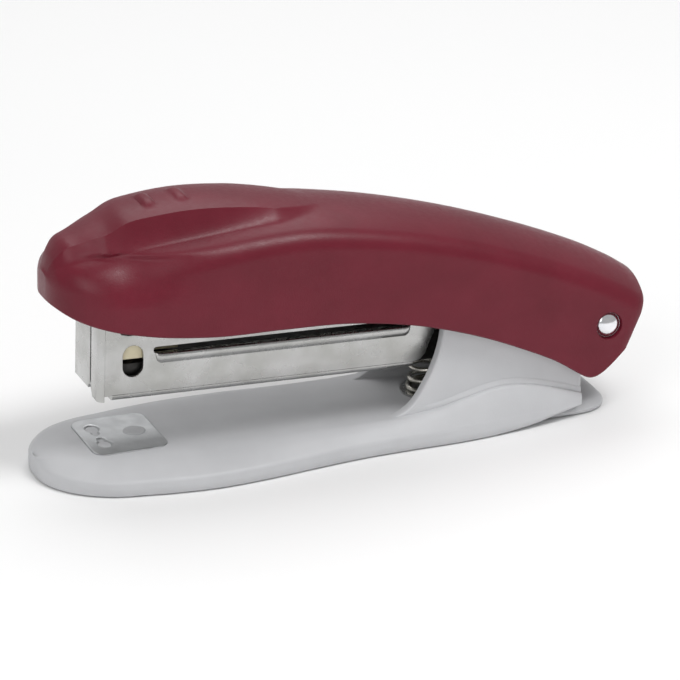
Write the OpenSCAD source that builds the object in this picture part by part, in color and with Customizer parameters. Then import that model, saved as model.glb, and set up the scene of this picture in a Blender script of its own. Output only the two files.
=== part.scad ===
// Desk stapler for half strips of 24/6 staples: moulded base with anvil, sprung steel magazine, pressed handle.
// Millimetres, +Z up. The nose points to -X and the tail to +X, Y runs across.
// The origin is on the surface it stands on, under the middle of its length.

/* [Base] */
// Lowest edge of the base moulding above the table
base_clear = 0.3; // [0.2:0.1:0.6]
// Height of the flat platform that carries the anvil
platform_h = 5.9; // [5.4:0.1:6.4]
// Height of the vertical side wall round the platform
side_wall_h = 3.2; // [2.4:0.1:3.8]
// Wall thickness of the base moulding
base_wall = 1.8; // [1.5:0.1:2.2]

/* [Hinge] */
// Distance of the rivet axis from the middle of the stapler
hinge_x = 52.6; // [51.6:0.1:53.6]
// Height of the rivet axis
hinge_z = 19.5; // [19:0.1:20]
// Radius of the rivet's shank
rivet_r = 2.0; // [1.6:0.1:2.2]
// Outer face of each cheek of the base, from the middle plane
cheek_y = 11.7; // [11.5:0.1:11.8]
// Thickness of each cheek
cheek_t = 2.3; // [2:0.1:2.4]

/* [Magazine] */
// Outer width of the magazine channel
magazine_w = 15; // [14.8:0.1:15.2]
// Sheet thickness of the magazine
sheet = 0.8; // [0.6:0.1:0.9]
// Tilt of the magazine at rest, nose up, in degrees
magazine_tilt = 1.9; // [1.5:0.1:2.5]
// Underside of the magazine below the rivet axis
magazine_low = 6.8; // [6.6:0.1:7]
// Top edge of the magazine's sides above the rivet axis
magazine_high = 6.3; // [6:0.1:6.6]

/* [Handle] */
// Wall thickness of the handle cover
cover_wall = 1.7; // [1.5:0.1:1.9]
// Height of the thumb pad over the crown, as a factor
pad_rise = 1; // [0.6:0.1:1.2]

/* [Hidden] */

burgundy = [0.45, 0.11, 0.18];
light_grey = [0.80, 0.81, 0.83];
nickel = [0.74, 0.75, 0.76];
dark_steel = [0.45, 0.46, 0.48];
cream = [0.88, 0.84, 0.70];
black_rubber = [0.12, 0.12, 0.13];

round_fn = 48;
running_gap = 0.05;

// ---- Smooth curves through a few [position, value] points ----

function segment(t, x, i = 0) = (i >= len(t) - 2 || x < t[i + 1][0]) ? i : segment(t, x, i + 1);
function slope_at(t, i) =
    let (a = max(i - 1, 0), b = min(i + 1, len(t) - 1))
    (t[b][1] - t[a][1]) / (t[b][0] - t[a][0]);
function curve(t, x) =
    let (i = segment(t, x), h = t[i + 1][0] - t[i][0], s = (x - t[i][0]) / h)
    (2 * s ^ 3 - 3 * s ^ 2 + 1) * t[i][1] + (s ^ 3 - 2 * s ^ 2 + s) * h * slope_at(t, i)
    + (3 * s ^ 2 - 2 * s ^ 3) * t[i + 1][1] + (s ^ 3 - s ^ 2) * h * slope_at(t, i + 1);
// Plan rounding of an end: 0 at the tip (s = 0), 1 from s = 1 on
function end_round(s) = s >= 1 ? 1 : sqrt(1 - (1 - max(s, 0)) ^ 2);
function mix(a, b, s) = a + (b - a) * s;
function unit(s) = min(max(s, 0), 1);
// Stations from x0 to x1, close together at both ends
function stations(x0, x1, count) = [for (i = [0 : count]) mix(x0, x1, 0.5 - 0.5 * cos(180 * i / count))];

// Faces that close a row of points: one flat face, or strips across for a row whose points lie on a slope
function cap(first, edge, leaning) =
    leaning ? [
        for (j = [0 : edge / 2 - 2]) [first + j, first + j + 1, first + edge - j - 1, first + edge - j],
        [first + edge / 2 - 1, first + edge / 2, first + edge / 2 + 1]
    ] : [[for (j = [0 : edge]) first + j]];
function flipped(faces) = [for (f = faces) [for (k = [len(f) - 1 : -1 : 0]) f[k]]];

// A closed skin between two grids of points that have the same rows. Row 0 is the nose end, and each row runs
// from the rim on the +Y side over the top to the rim on the -Y side.
module skin(outer, inner, leaning) {
    rows = len(outer);
    cols = len(outer[0]);
    size = rows * cols;
    function o(i, j) = i * cols + j;
    function n(i, j) = size + i * cols + j;
    last = rows - 1;
    edge = cols - 1;
    grid = [for (i = [0 : last - 1]) for (j = [0 : edge - 1]) [i, j]];
    polyhedron(
        points = [for (row = outer) each row, for (row = inner) each row],
        faces = [
            for (g = grid) [o(g[0], g[1]), o(g[0] + 1, g[1]), o(g[0] + 1, g[1] + 1)],
            for (g = grid) [o(g[0], g[1]), o(g[0] + 1, g[1] + 1), o(g[0], g[1] + 1)],
            for (g = grid) [n(g[0], g[1]), n(g[0] + 1, g[1] + 1), n(g[0] + 1, g[1])],
            for (g = grid) [n(g[0], g[1]), n(g[0], g[1] + 1), n(g[0] + 1, g[1] + 1)],
            for (i = [0 : last - 1]) [o(i, 0), n(i, 0), n(i + 1, 0)],
            for (i = [0 : last - 1]) [o(i, 0), n(i + 1, 0), o(i + 1, 0)],
            for (i = [0 : last - 1]) [o(i, edge), o(i + 1, edge), n(i + 1, edge)],
            for (i = [0 : last - 1]) [o(i, edge), n(i + 1, edge), n(i, edge)],
            each cap(o(0, 0), edge, leaning),
            each flipped(cap(n(0, 0), edge, leaning)),
            each flipped(cap(o(last, 0), edge, leaning)),
            each cap(n(last, 0), edge, leaning),
            [o(0, 0), o(0, edge), n(0, edge), n(0, 0)],
            [o(last, 0), n(last, 0), n(last, edge), o(last, edge)]
        ]
    );
}

// A wire of radius r swept along points, with flat ends; steps is the number of sides
module wire(path, r, sides) {
    last = len(path) - 1;
    function way(k) = let (d = path[min(k + 1, last)] - path[max(k - 1, 0)]) d / norm(d);
    function ring(k, up) =
        let (t = way(k), u = cross(up, t) / norm(cross(up, t)), v = cross(t, u))
        [for (s = [0 : sides - 1]) path[k] + r * (cos(360 * s / sides) * u + sin(360 * s / sides) * v)];
    up = abs(way(0)[2]) > 0.7 ? [1, 0, 0] : [0, 0, 1];
    polyhedron(
        points = [for (k = [0 : last]) each ring(k, up)],
        faces = [
            for (k = [0 : last - 1]) for (s = [0 : sides - 1])
                [k * sides + s, (k + 1) * sides + s, (k + 1) * sides + (s + 1) % sides],
            for (k = [0 : last - 1]) for (s = [0 : sides - 1])
                [k * sides + s, (k + 1) * sides + (s + 1) % sides, k * sides + (s + 1) % sides],
            [for (s = [0 : sides - 1]) s],
            [for (s = [sides - 1 : -1 : 0]) last * sides + s]
        ]
    );
}

// A plate whose side view is the 2-D child, from y0 to y1
module side_plate(y0, y1) {
    translate([0, y1, 0])
        rotate([90, 0, 0])
            linear_extrude(y1 - y0)
                children();
}

// A cylinder along Y from y0 to y1
module cross_pin(r, y0, y1) {
    translate([0, y0, 0])
        rotate([-90, 0, 0])
            cylinder(r = r, h = y1 - y0, $fn = round_fn);
}

// Places children that are drawn about the rivet axis, level, into the magazine's resting tilt
module at_hinge(tilt = magazine_tilt) {
    translate([hinge_x, 0, hinge_z])
        rotate([0, tilt, 0])
            children();
}

// ---- Base: outline and heights along the length ----

base_tip_x = -62.5;
base_rear_x = 47.7;
base_tip_len = 16;
base_half_w = [[-62.5, 16], [-46.5, 17], [-39, 18.3], [-30, 19.1], [-19.5, 18.4], [-9.5, 17], [0, 15.9],
    [10, 15.5], [21, 15.4], [32, 14.4], [44, 12.9], [47.7, 12.5]];
bevel_w = [[-62.5, 3], [-55, 5.5], [-45, 7.2], [-30, 7.6], [-15, 5.6], [0, 3.7], [20, 2.6], [30, 1.7],
    [40, 0.7], [47.7, 0.25]];
floor_h = [[-62.5, -2.3], [-60, -1], [-57, -0.2], [-53, 0], [0, 0], [20, -0.3], [47.7, -0.4]];
ridge_h = [[-62.5, 0], [4, 0], [10, 0.1], [17, 0.9], [22.5, 2.2], [28, 3.4], [33, 3.6], [38.4, 2.6],
    [43, 1.2], [47.7, -0.4]];
lower_edge = [[-62.5, 0], [20, 0], [28, 0], [37, 0.7], [42.4, 1.7], [47.7, 2.7]];

function base_half(x, inset) =
    (curve(base_half_w, x) - inset) * mix(0.08, 1, end_round((x - base_tip_x - inset) / base_tip_len));
function base_row(x, inset) =
    let (
        w = base_half(x, inset),
        z_low = base_clear + max(curve(lower_edge, x), 0),
        z_floor = platform_h + curve(floor_h, x) - inset,
        // Only the outer face has the ridge, which stands on the level platform and not on its slight fall
        fall = x > 4 ? min(curve(floor_h, x), 0) : 0,
        z_ridge = z_floor + (inset > 0 ? 0 : max(curve(ridge_h, x) - fall, 0)),
        z_wall = max(min(side_wall_h - 0.3 * inset, z_floor - 0.3), z_low + 0.3),
        y_ridge = max(w - min(curve(bevel_w, x), 0.45 * w), 0.4 * w),
        half = [
            [w, z_low],
            [w, mix(z_low, z_wall, 0.5)],
            [0.994 * w, z_wall],
            [mix(w, y_ridge, 0.35) + 0.006 * w, mix(z_wall, z_ridge, 0.5)],
            [mix(w, y_ridge, 0.7) + 0.004 * w, mix(z_wall, z_ridge, 0.84)],
            [y_ridge, z_ridge],
            [0.85 * y_ridge, z_ridge],
            [0.79 * y_ridge, z_floor],
            [0.4 * y_ridge, z_floor]
        ]
    )
    [
        for (p = half) [x, p[0], p[1]],
        [x, 0, z_floor],
        for (k = [len(half) - 1 : -1 : 0]) [x, -half[k][0], half[k][1]]
    ];

// Side view of one cheek: its front edge sweeps down into the platform, its top runs back to the rivet
cheek_front = [[7.5, 5.2], [9.6, 6.2], [11.8, 8], [13.8, 10.5], [15.6, 13.2], [17.2, 16.2], [18.1, 19.4], [18.6, 24]];
cheek_end_r = 4.2;
module cheek_outline() {
    polygon([
        [7.2, 4.75], each cheek_front, [20.4, 25.8], [24, 26.4],
        for (a = [92 : -14 : -62]) [hinge_x + cheek_end_r * cos(a), hinge_z + cheek_end_r * sin(a)],
        [49.4, 12.4], [base_rear_x + 0.13, 10], [base_rear_x + 0.13, 4.75]
    ]);
}

// Base moulding: hollow platform with two cheeks that hold the rivet
module base_shell() {
    rows = 34;
    cross_wall_h = 9;
    color(light_grey)
        difference() {
            union() {
                skin(
                    [for (x = stations(base_tip_x, base_rear_x, rows)) base_row(x, 0)],
                    [for (x = stations(base_tip_x + base_wall, base_rear_x - base_wall, rows)) base_row(x, base_wall)],
                    leaning = false
                );
                for (side = [-1, 1])
                    side_plate(side * (cheek_y - cheek_t / 2) - cheek_t / 2, side * (cheek_y - cheek_t / 2) + cheek_t / 2)
                        cheek_outline();
                translate([base_rear_x - base_wall + 0.07, -cheek_y + 0.53, 4.03])
                    cube([base_wall, 2 * cheek_y - 1, cross_wall_h - 4]);
            }
            translate([hinge_x, 0, hinge_z])
                cross_pin(rivet_r + 0.02, -20, 20);
            translate([stake_x, 0, 2])
                cylinder(r = stake_r + 0.02, h = 6, $fn = round_fn);
            for (x = cover_screw_x)
                translate([x, 0, 2])
                    cylinder(r = cover_screw_r + 0.02, h = cover_screw_top + 0.1 - 2, $fn = round_fn);
            anvil_seat(0.02);
        }
}

// ---- Bottom cover with the rear heel ----

cover_top = 2.1;
heel_x = 55.5;
heel_half_w = 11;
cover_screw_x = [-30, 24];
cover_screw_r = 1.5;
cover_screw_low = 0.5;
// The screws bite into the underside of the platform
cover_screw_top = 4.7;

// Plan of the heel: straight sides and a round end
module heel_plan() {
    corner = 7;
    hull() {
        translate([heel_x - corner, -(heel_half_w - corner)])
            circle(r = corner, $fn = 32);
        translate([heel_x - corner, heel_half_w - corner])
            circle(r = corner, $fn = 32);
        translate([36, -heel_half_w])
            square([2, 2 * heel_half_w]);
    }
}

// Plate that closes the base from below; its rear end shows behind the cheeks as a sloping heel
module bottom_cover() {
    color(light_grey)
        difference() {
            union() {
                translate([0, 0, base_clear])
                    linear_extrude(cover_top - base_clear)
                        polygon([
                            for (x = [-59 : 4 : 37]) [x, base_half(x, base_wall) - 0.4],
                            for (x = [37 : -4 : -59]) [x, -base_half(x, base_wall) + 0.4]
                        ]);
                intersection() {
                    translate([0, 0, base_clear])
                        linear_extrude(8)
                            heel_plan();
                    side_plate(-heel_half_w - 1, heel_half_w + 1)
                        polygon([
                            [30, base_clear], [heel_x, base_clear], [heel_x, 1.8], [54, 2.6], [51, 3.6], [48, 4.3],
                            [base_rear_x + 0.2, 4.4], [base_rear_x + 0.2, cover_top + 0.6], [30, cover_top + 0.6]
                        ]);
                }
            }
            for (x = cover_screw_x)
                translate([x, 0, 0]) {
                    cylinder(r = cover_screw_r + 0.05, h = 6, $fn = round_fn);
                    cylinder(r = 2.7, h = 1.15, $fn = round_fn);
                }
            pad_block(front_pad_x, pad_pocket, 0.02);
            pad_block(rear_pad_x, pad_pocket, 0.02);
        }
}

// Two self-tapping screws that hold the bottom cover
module cover_screws() {
    color(dark_steel)
        for (x = cover_screw_x)
            translate([x, 0, cover_screw_low])
                difference() {
                    union() {
                        cylinder(r = 2.6, h = 0.6, $fn = round_fn);
                        cylinder(r = cover_screw_r, h = cover_screw_top - cover_screw_low, $fn = round_fn);
                    }
                    for (turn = [0, 90])
                        rotate([0, 0, turn])
                            translate([-1.4, -0.25, -1])
                                cube([2.8, 0.5, 1.35]);
                }
}

// ---- Rubber pads ----

front_pad_x = [-52, -38];
rear_pad_x = [30, 43];
pad_half_w = 9;
pad_pocket = 1.2;

// Block of one pad with rounded corners, from the table to the pocket's roof
module pad_block(span, height, grow) {
    corner = 3;
    linear_extrude(height + grow)
        hull()
            for (x = [span[0] + corner, span[1] - corner])
                for (side = [-1, 1])
                    translate([x, side * (pad_half_w - corner)])
                        circle(r = corner + grow, $fn = 32);
}

module front_pad() {
    color(black_rubber)
        pad_block(front_pad_x, pad_pocket, 0);
}

module rear_pad() {
    color(black_rubber)
        pad_block(rear_pad_x, pad_pocket, 0);
}

// ---- Anvil ----

anvil_x = [-51.5, -36.5];
anvil_half_w = 9;
anvil_t = 1;
anvil_proud = 0.3;
clinch_x = -48.2;
stake_x = -40.9;
stake_r = 2.2;

// Rounded rectangle of the anvil, grown by a gap, sunk into the platform
module anvil_seat(gap) {
    corner = 2.6;
    translate([0, 0, platform_h + anvil_proud - anvil_t - gap])
        linear_extrude(anvil_t + 2 * gap)
            hull()
                for (x = [anvil_x[0] + corner, anvil_x[1] - corner])
                    for (side = [-1, 1])
                        translate([x, side * (anvil_half_w - corner)])
                            circle(r = corner + gap, $fn = 32);
}

// Steel anvil with the two hollows that turn the staple's legs inwards
module anvil_plate() {
    groove_r = 2.2;
    color(nickel)
        difference() {
            anvil_seat(0);
            for (side = [-1, 1])
                translate([clinch_x, side * 3.9, platform_h + anvil_proud + groove_r - 0.55])
                    rotate([90, 0, 0])
                        cylinder(r = groove_r, h = 5, center = true, $fn = round_fn);
            translate([stake_x, 0, 0])
                cylinder(r = stake_r + 0.01, h = 10, $fn = round_fn);
        }
}

// Moulded stake, headed over to hold the anvil down
module anvil_stake() {
    color(light_grey)
        translate([stake_x, 0, 2.2])
            cylinder(r = stake_r, h = platform_h + anvil_proud + 0.15 - 2.2, $fn = round_fn);
}

// ---- Return spring under the magazine ----

spring_x = 20.5;
spring_floor = platform_h - 0.3;
spring_wire_r = 0.45;
spring_low_r = 4.6;
spring_high_r = 3.3;
spring_turns = 4.5;

// Washer that centres the return spring on the floor of the base
module spring_seat() {
    color(nickel)
        translate([spring_x, 0, spring_floor + 0.1])
            difference() {
                cylinder(r = 6, h = 0.45, $fn = round_fn);
                translate([0, 0, -1])
                    cylinder(r = 2, h = 3, $fn = round_fn);
            }
}

// Conical compression spring, wide end down
module return_spring() {
    z0 = spring_floor + 0.6 + spring_wire_r;
    z1 = 14.35 - spring_wire_r;
    steps = 14;
    color(nickel)
        wire([
            for (k = [0 : spring_turns * steps])
                let (s = k / (spring_turns * steps), r = mix(spring_low_r, spring_high_r, s))
                [spring_x + r * cos(360 * k / steps), r * sin(360 * k / steps),
                    mix(z0, z1, unit((s * spring_turns - 0.7) / (spring_turns - 1.4)))]
        ], spring_wire_r, 8);
}

// ---- Hinge hardware ----

rivet_seat_y = 13.1;
rivet_head_r = 2.5;

// Rivet through handle, cheeks and magazine, with a domed head on each side
module hinge_rivet() {
    dome_h = 1.05;
    dome_r = (rivet_head_r ^ 2 + dome_h ^ 2) / (2 * dome_h);
    color(nickel)
        translate([hinge_x, 0, hinge_z])
            union() {
                cross_pin(rivet_r, -rivet_seat_y - 0.1, rivet_seat_y + 0.1);
                for (side = [-1, 1])
                    rotate([side * -90, 0, 0])
                        translate([0, 0, rivet_seat_y])
                            intersection() {
                                translate([0, 0, dome_h - dome_r])
                                    sphere(r = dome_r, $fn = 64);
                                cylinder(r = rivet_head_r, h = dome_h, $fn = 64);
                            }
            }
}

arm_out_y = 9.1;

// Two spacers between the cheeks and the driver arm
module spacer_washers() {
    inner_face = cheek_y - cheek_t;
    color(nickel)
        translate([hinge_x, 0, hinge_z])
            for (side = [-1, 1])
                difference() {
                    cross_pin(4, side * (arm_out_y + inner_face) / 2 - 0.12, side * (arm_out_y + inner_face) / 2 + 0.12);
                    cross_pin(rivet_r + running_gap, -20, 20);
                }
}

// ---- Magazine: all drawn about the rivet axis, level ----

mag_half = magazine_w / 2;
mag_in = mag_half - sheet;
front_x = -102.9;
mag_rear_x = -38.5;
tab_top = 10.5;
slot_x = [-91.5, -39.5];
bead_z = [0.05, 2.2];
slot_top = 3.4;
window_x = -96;
window_z = [-2.1, 4.2];
window_r = 2.05;

// Side view of the magazine channel with its ear round the rivet
module magazine_outline() {
    ear_r = 4.5;
    polygon([
        [front_x + 2.2, -magazine_low], [mag_rear_x, -magazine_low], [-37.3, -6.5], [-36.5, -5.8], [-36, -4.6],
        [-33.4, 3], [-32.4, 3.9], [-30, 3.6],
        for (a = [-105 : 15 : 75]) [ear_r * cos(a), ear_r * sin(a)],
        [-14, magazine_high], [front_x + 6, magazine_high], [front_x + 4.4, magazine_high + 0.2],
        [front_x + 2.4, tab_top - 1.6], [front_x, tab_top], [front_x, -magazine_low + 1], [front_x + 2.2, -magazine_low + 0.6]
    ]);
}

// Slot with round ends, drawn in the side view
module side_slot(x0, x1, z0, z1) {
    r = (z1 - z0) / 2;
    hull()
        for (x = [x0 + r, x1 - r])
            translate([x, z0 + r])
                circle(r = r, $fn = 32);
}

// Folded steel channel: two sides, a floor, and a front made of two folded tabs
module magazine_channel() {
    near_tab_y = -3.1;
    bead_out = 0.4;
    color(nickel)
        at_hinge()
            difference() {
                union() {
                    for (side = [-1, 1])
                        side_plate(side * (mag_half - sheet / 2) - sheet / 2, side * (mag_half - sheet / 2) + sheet / 2)
                            magazine_outline();
                    translate([front_x + 3.4, -mag_half, -magazine_low])
                        cube([mag_rear_x - front_x - 3.4, magazine_w, sheet]);
                    translate([front_x, -mag_half, -magazine_low - 0.1])
                        cube([sheet, near_tab_y + mag_half, tab_top + magazine_low + 0.1]);
                    translate([front_x, near_tab_y + 0.3, -magazine_low + 1.1])
                        cube([sheet, mag_half - near_tab_y - 0.3, tab_top + magazine_low - 1.1]);
                    for (side = [-1, 1])
                        side_plate(side * (mag_half - 0.1) - bead_out / 2 + side * bead_out / 2,
                            side * (mag_half - 0.1) + bead_out / 2 + side * bead_out / 2)
                            side_slot(slot_x[0], slot_x[1], bead_z[0], bead_z[1]);
                }
                side_plate(-20, 20)
                    side_slot(slot_x[0] - 0.4, slot_x[1] + 0.4, bead_z[1], slot_top);
                for (z = [window_z[0] + window_r, window_z[1] - window_r])
                    translate([window_x, 0, z])
                        cross_pin(window_r, -20, 20);
                translate([window_x - window_r, -20, window_z[0] + window_r])
                    cube([2 * window_r, 40, window_z[1] - window_z[0] - 2 * window_r]);
                cross_pin(rivet_r + running_gap, -20, 20);
                for (x = rail_rivet_x)
                    translate([x, 0, -20])
                        cylinder(r = rail_rivet_r + 0.02, h = 20, $fn = round_fn);
            }
}

rail_half = 5.9;
rail_sheet = 0.7;
rail_x = [-99.9, -26];
rail_rivet_x = [-48, -42];
rail_rivet_r = 1;

// Inner channel that the staples ride on, closed at the rear by a floor that rests on the return spring
module staple_rail() {
    low = -magazine_low + sheet;
    length = rail_x[1] - rail_x[0];
    color(nickel)
        at_hinge()
            difference() {
                translate([rail_x[0], -rail_half, low])
                    cube([length, 2 * rail_half, -low]);
                translate([rail_x[0] - 1, -rail_half + rail_sheet, low - 1])
                    cube([length - 24 + 1, 2 * (rail_half - rail_sheet), -low + 1 - rail_sheet]);
                translate([rail_x[1] - 24 - 1, -rail_half + rail_sheet, low + rail_sheet])
                    cube([26, 2 * (rail_half - rail_sheet), -low - 2 * rail_sheet]);
                for (x = rail_rivet_x)
                    translate([x, 0, -20])
                        cylinder(r = rail_rivet_r + 0.02, h = 16, $fn = round_fn);
            }
}

// Two rivets that join the rail's floor to the magazine's floor
module rail_rivets() {
    low = -magazine_low;
    color(dark_steel)
        at_hinge()
            for (x = rail_rivet_x)
                translate([x, 0, low - 0.4])
                    union() {
                        cylinder(r = rail_rivet_r, h = sheet + rail_sheet + 0.8, $fn = round_fn);
                        cylinder(r = 1.8, h = 0.4, $fn = round_fn);
                        translate([0, 0, sheet + rail_sheet + 0.4])
                            cylinder(r = 1.8, h = 0.4, $fn = round_fn);
                    }
}

// Tube over the rivet that keeps the magazine's ears apart
module pivot_sleeve() {
    color(nickel)
        at_hinge()
            difference() {
                cross_pin(3.2, -mag_in, mag_in);
                cross_pin(rivet_r + running_gap, -20, 20);
            }
}

rod_z = 3.1;
rod_r = 0.9;
bracket_x = -24;
rod_front_x = -89;

// Straight rod that the follower slides on
module guide_rod() {
    color(nickel)
        at_hinge()
            translate([rod_front_x, 0, rod_z])
                rotate([0, 90, 0])
                    cylinder(r = rod_r, h = bracket_x + 1.6 - rod_front_x, $fn = round_fn);
}

// Small plate between the magazine's sides that carries the rod
module rod_bracket() {
    color(dark_steel)
        at_hinge()
            difference() {
                translate([bracket_x, -mag_in, 1])
                    cube([sheet, 2 * mag_in, 5]);
                translate([bracket_x - 1, 0, rod_z])
                    rotate([0, 90, 0])
                        cylinder(r = rod_r + 0.02, h = 4, $fn = round_fn);
            }
}

follower_x = [-99.5, -85.5];

// Plastic follower: a block over the rail with a skirt on each side of it
module follower() {
    top_z = 5;
    half = mag_in - 0.3;
    skirt_x = -93;
    color(cream)
        at_hinge()
            difference() {
                union() {
                    translate([follower_x[0], -half, 1.1])
                        cube([follower_x[1] - follower_x[0], 2 * half, top_z - 1.1]);
                    translate([skirt_x, -half, -4.6])
                        cube([follower_x[1] - skirt_x, 2 * half, 5.8]);
                }
                translate([skirt_x - 1, -rail_half - 0.15, -8])
                    cube([20, 2 * rail_half + 0.3, 8.15]);
                translate([follower_x[0] - 1, 0, rod_z])
                    rotate([0, 90, 0])
                        cylinder(r = rod_r + 0.1, h = 30, $fn = round_fn);
            }
}

// Long soft spring on the rod, between the follower and the bracket
module follower_spring() {
    coil_r = 1.55;
    turns = 15;
    steps = 9;
    wire_r = 0.28;
    length = bracket_x - follower_x[1] - 2 * wire_r;
    color(nickel)
        at_hinge()
            wire([
                for (k = [0 : turns * steps])
                    [follower_x[1] + wire_r + length * k / (turns * steps), coil_r * cos(360 * k / steps),
                        rod_z + coil_r * sin(360 * k / steps)]
            ], wire_r, 5);
}

// ---- Handle cover: outline and heights along the length ----

nose_x = -58.5;
tail_x = 62.5;
nose_len = 8;
tail_len = 4;
cover_half_w = [[-58.5, 13.2], [-50, 13.7], [-38, 14.7], [-28, 15.2], [-16, 15.3], [-2, 15.1], [12, 14.8],
    [26, 14.5], [40, 14.4], [55, 14.3], [62.5, 14]];
crown_h = [[-58.5, 41.5], [-57, 43.9], [-54, 45.6], [-46, 47.2], [-38, 48.3], [-28, 49], [-18, 49.5], [-10, 49.4],
    [-2, 48.4], [12, 45.7], [26, 41.9], [40, 36.9], [52, 31.8], [59, 28.1], [62.5, 25.8]];
rim_h = [[-58.5, 36.2], [-55, 34.4], [-50, 32.8], [-44, 31.3], [-38, 30.2], [-28, 29.2], [-16, 28.9], [-2, 28.1],
    [12, 25.5], [26, 20.9], [40, 14.6], [49, 10.4], [54, 9.2], [58.5, 10.3], [62.5, 14]];
crown_drop = [[-58.5, 2.2], [-40, 2.4], [-20, 2], [0, 1.8], [30, 2.2], [62.5, 2.6]];
shoulder_r = [[-58.5, 4], [-50, 6], [-40, 5.4], [-20, 4.6], [10, 4.2], [62.5, 4.4]];
pad_h = [[-51, 0], [-47, 1.8], [-43, 3.7], [-38, 4.1], [-30, 3.8], [-20, 2.3], [-12, 0.6], [-8, 0]];
pad_mid_x = -29;
pad_len = 21;
pad_half = 9;

function cover_half(x, inset) =
    (curve(cover_half_w, x) - inset)
    * mix(0.1, 1, end_round((x - nose_x - inset) / nose_len))
    * mix(0.86, 1, end_round((tail_x - inset - x) / tail_len));
function pad_lift(x, y) =
    (x < pad_h[0][0] || x > pad_h[7][0]) ? 0
    : pad_rise * curve(pad_h, x)
        * (let (s = unit((1 - (abs(x - pad_mid_x) / pad_len) ^ 2.4 - (abs(y) / pad_half) ^ 2.4) / 0.4)) s * s * (3 - 2 * s));
// Rear end of the cover leans: the sections tilt more and more towards the tail
function cover_lean(x) = 0.5 * unit((x - 36) / 26.5) ^ 2;
function cover_row(x, inset) =
    let (
        w = cover_half(x, inset),
        z_top = curve(crown_h, x) - inset,
        z_rim = curve(rim_h, x),
        drop = min(curve(crown_drop, x), 0.16 * w),
        r = min(curve(shoulder_r, x) - inset, 0.55 * w),
        y_wall = w - 0.03 * w,
        flank = atan(2 * drop / (y_wall - 0.6 * r)),
        y_edge = y_wall - r * (1 - sin(flank)),
        z_mid = max(z_top - drop - r * cos(flank), z_rim + 0.5),
        // The cover is thicker under the pad: its inside rises less than half as much
        pad_share = inset > 0 ? 0.45 : 1,
        half = [
            for (s = [0, 0.5, 1]) [mix(w, y_wall, s), mix(z_rim, z_mid, s)],
            for (s = [0.2 : 0.2 : 0.8]) [y_wall - r * (1 - cos(s * (90 - flank))), z_mid + r * sin(s * (90 - flank))],
            for (s = [1 : -0.2 : 0.19]) let (y = y_edge * s) [y, z_top - drop * s * s + pad_share * pad_lift(x, y)]
        ],
        lean = cover_lean(x)
    )
    [
        for (p = half) [x + lean * (p[1] - z_top), p[0], p[1]],
        [x, 0, z_top + pad_share * pad_lift(x, 0)],
        for (k = [len(half) - 1 : -1 : 0]) [x + lean * (half[k][1] - z_top), -half[k][0], half[k][1]]
    ];

// Top of the opening at the rear end of the cover, which passes the cheeks as the handle swings up
cover_opening_z = 19.6;
boss_x = [-82, -34];
boss_r = 3;
boss_bore_r = 1.25;
boss_low = [15.6, 12];
// A boss ends inside the roof of the cover, 0.8 mm below its outer face
function boss_height(k) =
    let (x = hinge_x + boss_x[k])
    curve(crown_h, x) + pad_lift(x, 0) - 0.8 - hinge_z - boss_low[k] + boss_x[k] * sin(magazine_tilt);

// Moulded cover with the thumb pad, two screw bosses and the recesses for the rivet heads
module handle_cover() {
    rows = 34;
    color(burgundy)
        difference() {
            union() {
                skin(
                    [for (x = stations(nose_x, tail_x, rows)) cover_row(x, 0)],
                    [for (x = stations(nose_x + cover_wall, tail_x - cover_wall, rows)) cover_row(x, cover_wall)],
                    leaning = true
                );
                for (k = [0, 1])
                    at_hinge()
                        translate([boss_x[k], 0, boss_low[k]])
                            cylinder(r = boss_r, h = boss_height(k), $fn = round_fn);
            }
            for (k = [0, 1])
                at_hinge()
                    translate([boss_x[k], 0, boss_low[k] - 1])
                        cylinder(r = boss_bore_r, h = 7, $fn = round_fn);
            translate([hinge_x, 0, hinge_z]) {
                cross_pin(rivet_r + running_gap, -20, 20);
                for (side = [-1, 1])
                    rotate([side * -90, 0, 0])
                        translate([0, 0, rivet_seat_y - 0.05])
                            cylinder(r = rivet_head_r + 0.3, h = 5, $fn = round_fn);
            }
            translate([hinge_x - 6, -cheek_y - 0.3, 0])
                cube([20, 2 * cheek_y + 0.6, cover_opening_z]);
        }
}

// ---- Driver arm and what it carries: all drawn about the rivet axis, level ----

arm_sheet = 0.8;
arm_front_x = -99.6;
arm_top = [[-99.6, 16.4], [-60, 14.2], [-20, 10.2], [-8, 7.6]];
arm_low = [[-99.6, 10.9], [-60, 8.4], [-26, 6.4]];

// Side view of the driver arm, lowered by drop
module arm_outline(drop) {
    end_r = 4.5;
    polygon([
        for (p = arm_low) [p[0], p[1] - (drop > 0 ? 8 : 0)],
        for (a = [-125 : 15 : 55]) [end_r * cos(a), end_r * sin(a) - (drop > 0 ? 8 : 0)],
        for (k = [len(arm_top) - 1 : -1 : 0]) [arm_top[k][0], arm_top[k][1] - drop]
    ]);
}

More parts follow.
